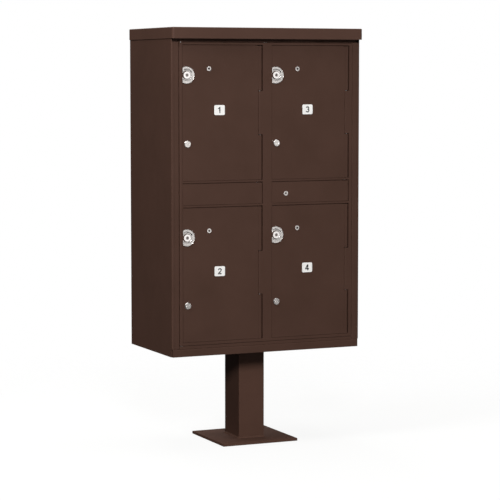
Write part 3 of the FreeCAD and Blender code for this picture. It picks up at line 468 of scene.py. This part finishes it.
def column_path(half_x, half_y):
    """Points and outward directions round the column's foot, a few for each ripple of the weld."""
    walk = []
    for side_x, side_y, start in ((1, 1, 0), (-1, 1, 90), (-1, -1, 180), (1, -1, 270)):
        centre = Vector((side_x * (half_x - COLUMN_CORNER), side_y * (half_y - COLUMN_CORNER)))
        for step in range(CORNER_STEPS + 1):
            angle = math.radians(start + 90 / CORNER_STEPS * step)
            outward = Vector((math.cos(angle), math.sin(angle)))
            walk.append((centre + outward * COLUMN_CORNER, outward))
    points = []
    for (here, out_here), (there, out_there) in zip(walk, walk[1:] + walk[:1]):
        count = max(1, round((there - here).length / (WELD_RIPPLE / STATIONS_PER_RIPPLE)))
        for i in range(count):
            share = i / count
            points.append((here.lerp(there, share), out_here.lerp(out_there, share).normalized()))
    return points


def weld_section(spot, outward, leg, foot):
    """One section across the fillet weld, a little hollow, with its root inside the corner."""
    offsets = []
    for k in range(WELD_SIDES + 1):
        angle = math.pi / 2 * k / WELD_SIDES
        reach = leg * (1 - math.sin(angle)) * WELD_HOLLOW + leg * math.cos(angle) * (1 - WELD_HOLLOW)
        rise = leg * (1 - math.cos(angle)) * WELD_HOLLOW + leg * math.sin(angle) * (1 - WELD_HOLLOW)
        offsets.append((reach, rise))
    offsets.append((-WELD_ROOT, -WELD_ROOT))
    return [(spot.x + outward.x * reach, spot.y + outward.y * reach, foot + rise)
            for reach, rise in offsets]


def foot_weld():
    """The rippled fillet weld all round the foot of the column."""
    low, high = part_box("pedestal_column")
    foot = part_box("anchor_plate")[1][2]
    stations = column_path((high[0] - low[0]) / 2, (high[1] - low[1]) / 2)
    bead = bmesh.new()
    rings = []
    travelled = 0.0
    for (spot, outward), (next_spot, _) in zip(stations, stations[1:] + stations[:1]):
        leg = WELD_LEG * (1 + WELD_SWELL * abs(math.sin(math.pi * travelled / WELD_RIPPLE)))
        rings.append([bead.verts.new(point) for point in weld_section(spot, outward, leg, foot)])
        travelled += (next_spot - spot).length
    for ring, following in zip(rings, rings[1:] + rings[:1]):
        for k in range(len(ring)):
            n = (k + 1) % len(ring)
            bead.faces.new((ring[k], following[k], following[n], ring[n]))
    return bead


weld = build("column_foot_weld", foot_weld(), PEDESTAL_COAT_PAINTED_LIGHTER)
weld.data.shade_smooth()
put_in(weld, "cabinet")

# ---------------------------------------------------------------- floor, light and camera
FLOOR_SIZE = 12.0
floor_mesh = bpy.data.meshes.new("studio_floor")
sheet = bmesh.new()
bmesh.ops.create_grid(sheet, x_segments=1, y_segments=1, size=FLOOR_SIZE / 2)
sheet.to_mesh(floor_mesh)
sheet.free()
floor = bpy.data.objects.new("studio_floor", floor_mesh)
bpy.context.scene.collection.objects.link(floor)
# the floor shows, but throws no light back up at the piece
floor.visible_diffuse = False
floor.visible_glossy = False


def light(name, place, aim, width, height, power, tint="#ffffff"):
    """A soft box that faces a point."""
    lamp = bpy.data.lights.new(name, "AREA")
    lamp.shape = "RECTANGLE"
    lamp.size = width
    lamp.size_y = height
    lamp.energy = power
    lamp.color = colour(tint)[:3]
    stand = bpy.data.objects.new(name, lamp)
    bpy.context.scene.collection.objects.link(stand)
    stand.location = place
    stand.visible_camera = False
    stand.rotation_euler = (Vector(aim) - Vector(place)).to_track_quat("-Z", "Y").to_euler()


BODY_MIDDLE = (0.0, 0.0, 0.9)
LOCKS = (-0.15, -0.2, 1.1)
light("key", (-2.4, -6.4, 3.6), BODY_MIDDLE, 1.4, 1.4, 376)
light("left_fill", (-4.4, -1.2, 5.4), BODY_MIDDLE, 2.0, 2.0, 215)
light("overhead", (0.0, 0.6, 6.5), BODY_MIDDLE, 5.0, 5.0, 170)
# two cards for the bright metal to mirror, one for the main view and one for the front
light("right_card", (2.1, -5.6, 0.95), LOCKS, 1.4, 1.8, 14)
light("front_card", (0.0, -6.4, 0.8), (0.0, -0.2, 1.0), 1.5, 1.8, 12)
light("low_rim", (2.2, 4.9, 0.9), (0.0, 0.0, 0.1), 2.0, 1.0, 0.6, "#ffcdb4")
light("back_fill", (0.3, 5.0, 6.3), BODY_MIDDLE, 2.4, 2.4, 120)
light("right_fill", (6.0, -0.6, 3.0), BODY_MIDDLE, 2.4, 2.4, 110)

# the backdrop is plain white to look at, and only a dim glow on the piece
BACKDROP_GLOW = 0.06
world = bpy.data.worlds.new("studio")
world.use_nodes = True
bpy.context.scene.world = world
world.node_tree.nodes.clear()
seen = add(world.node_tree, "ShaderNodeLightPath").outputs["Is Camera Ray"]
glow = add(world.node_tree, "ShaderNodeMapRange", {"Value": seen, "To Min": BACKDROP_GLOW, "To Max": 1.0})
sky = add(world.node_tree, "ShaderNodeBackground",
          {"Color": colour("#ffffff"), "Strength": glow.outputs["Result"]})
add(world.node_tree, "ShaderNodeOutputWorld", {"Surface": sky.outputs["Background"]})


# most of the paper's white is its own glow, so that shadows on it stay faint
PAPER_GLOW = 0.88
# distances from the middle of the floor
FADE_START, FADE_END = 0.9, 2.6


def studio_paper():
    """White seamless paper that fades into the backdrop away from the piece, and is clear from below."""
    made, tree = new_material("studio_paper")
    place = add(tree, "ShaderNodeTexCoord").outputs["Object"]
    distance = add(tree, "ShaderNodeVectorMath", {0: place}, operation="LENGTH")
    fade = add(tree, "ShaderNodeMapRange",
               {"Value": distance.outputs["Value"], "From Min": FADE_START, "From Max": FADE_END},
               interpolation_type="SMOOTHSTEP")
    fibres = add(tree, "ShaderNodeTexNoise", {"Vector": place, "Scale": 1 / (4 * MM), "Detail": 3.0})
    tone = add(tree, "ShaderNodeMix",
               {MIX_SHARE: fibres.outputs["Fac"], MIX_FIRST: colour("#ffffff"),
                MIX_SECOND: colour("#fbfbfa")}, data_type="RGBA")
    paper = add(tree, "ShaderNodeBsdfDiffuse", {"Color": tone.outputs[MIXED]})
    lit = add(tree, "ShaderNodeEmission", {"Color": tone.outputs[MIXED], "Strength": 1.0})
    sheet = add(tree, "ShaderNodeMixShader",
                {0: PAPER_GLOW, 1: paper.outputs["BSDF"], 2: lit.outputs["Emission"]})
    clear = add(tree, "ShaderNodeBsdfTransparent")
    below = add(tree, "ShaderNodeNewGeometry").outputs["Backfacing"]
    gone = add(tree, "ShaderNodeMath", {0: fade.outputs["Result"], 1: below}, operation="MAXIMUM")
    both = add(tree, "ShaderNodeMixShader",
               {0: gone.outputs["Value"], 1: sheet.outputs["Shader"], 2: clear.outputs["BSDF"]})
    add(tree, "ShaderNodeOutputMaterial", {"Surface": both.outputs["Shader"]})
    return made


give(floor, studio_paper())
# colours come out as they are, without a film curve
bpy.context.scene.view_settings.view_transform = "Standard"

CAMERA_PLACE = (-3.1043, -6.9486, 1.4081)
CAMERA_YAW = math.radians(24.24)
CAMERA_PITCH = math.radians(5.078)
CAMERA_LENS = 142.27
camera_data = bpy.data.cameras.new("view")
camera_data.lens = CAMERA_LENS
camera_data.sensor_width = 36.0
camera = bpy.data.objects.new("view", camera_data)
bpy.context.scene.collection.objects.link(camera)
camera.location = CAMERA_PLACE
camera.rotation_euler = (math.pi / 2 - CAMERA_PITCH, 0.0, -CAMERA_YAW)
bpy.context.scene.camera = camera

# ---------------------------------------------------------------- update
bpy.context.view_layer.update()
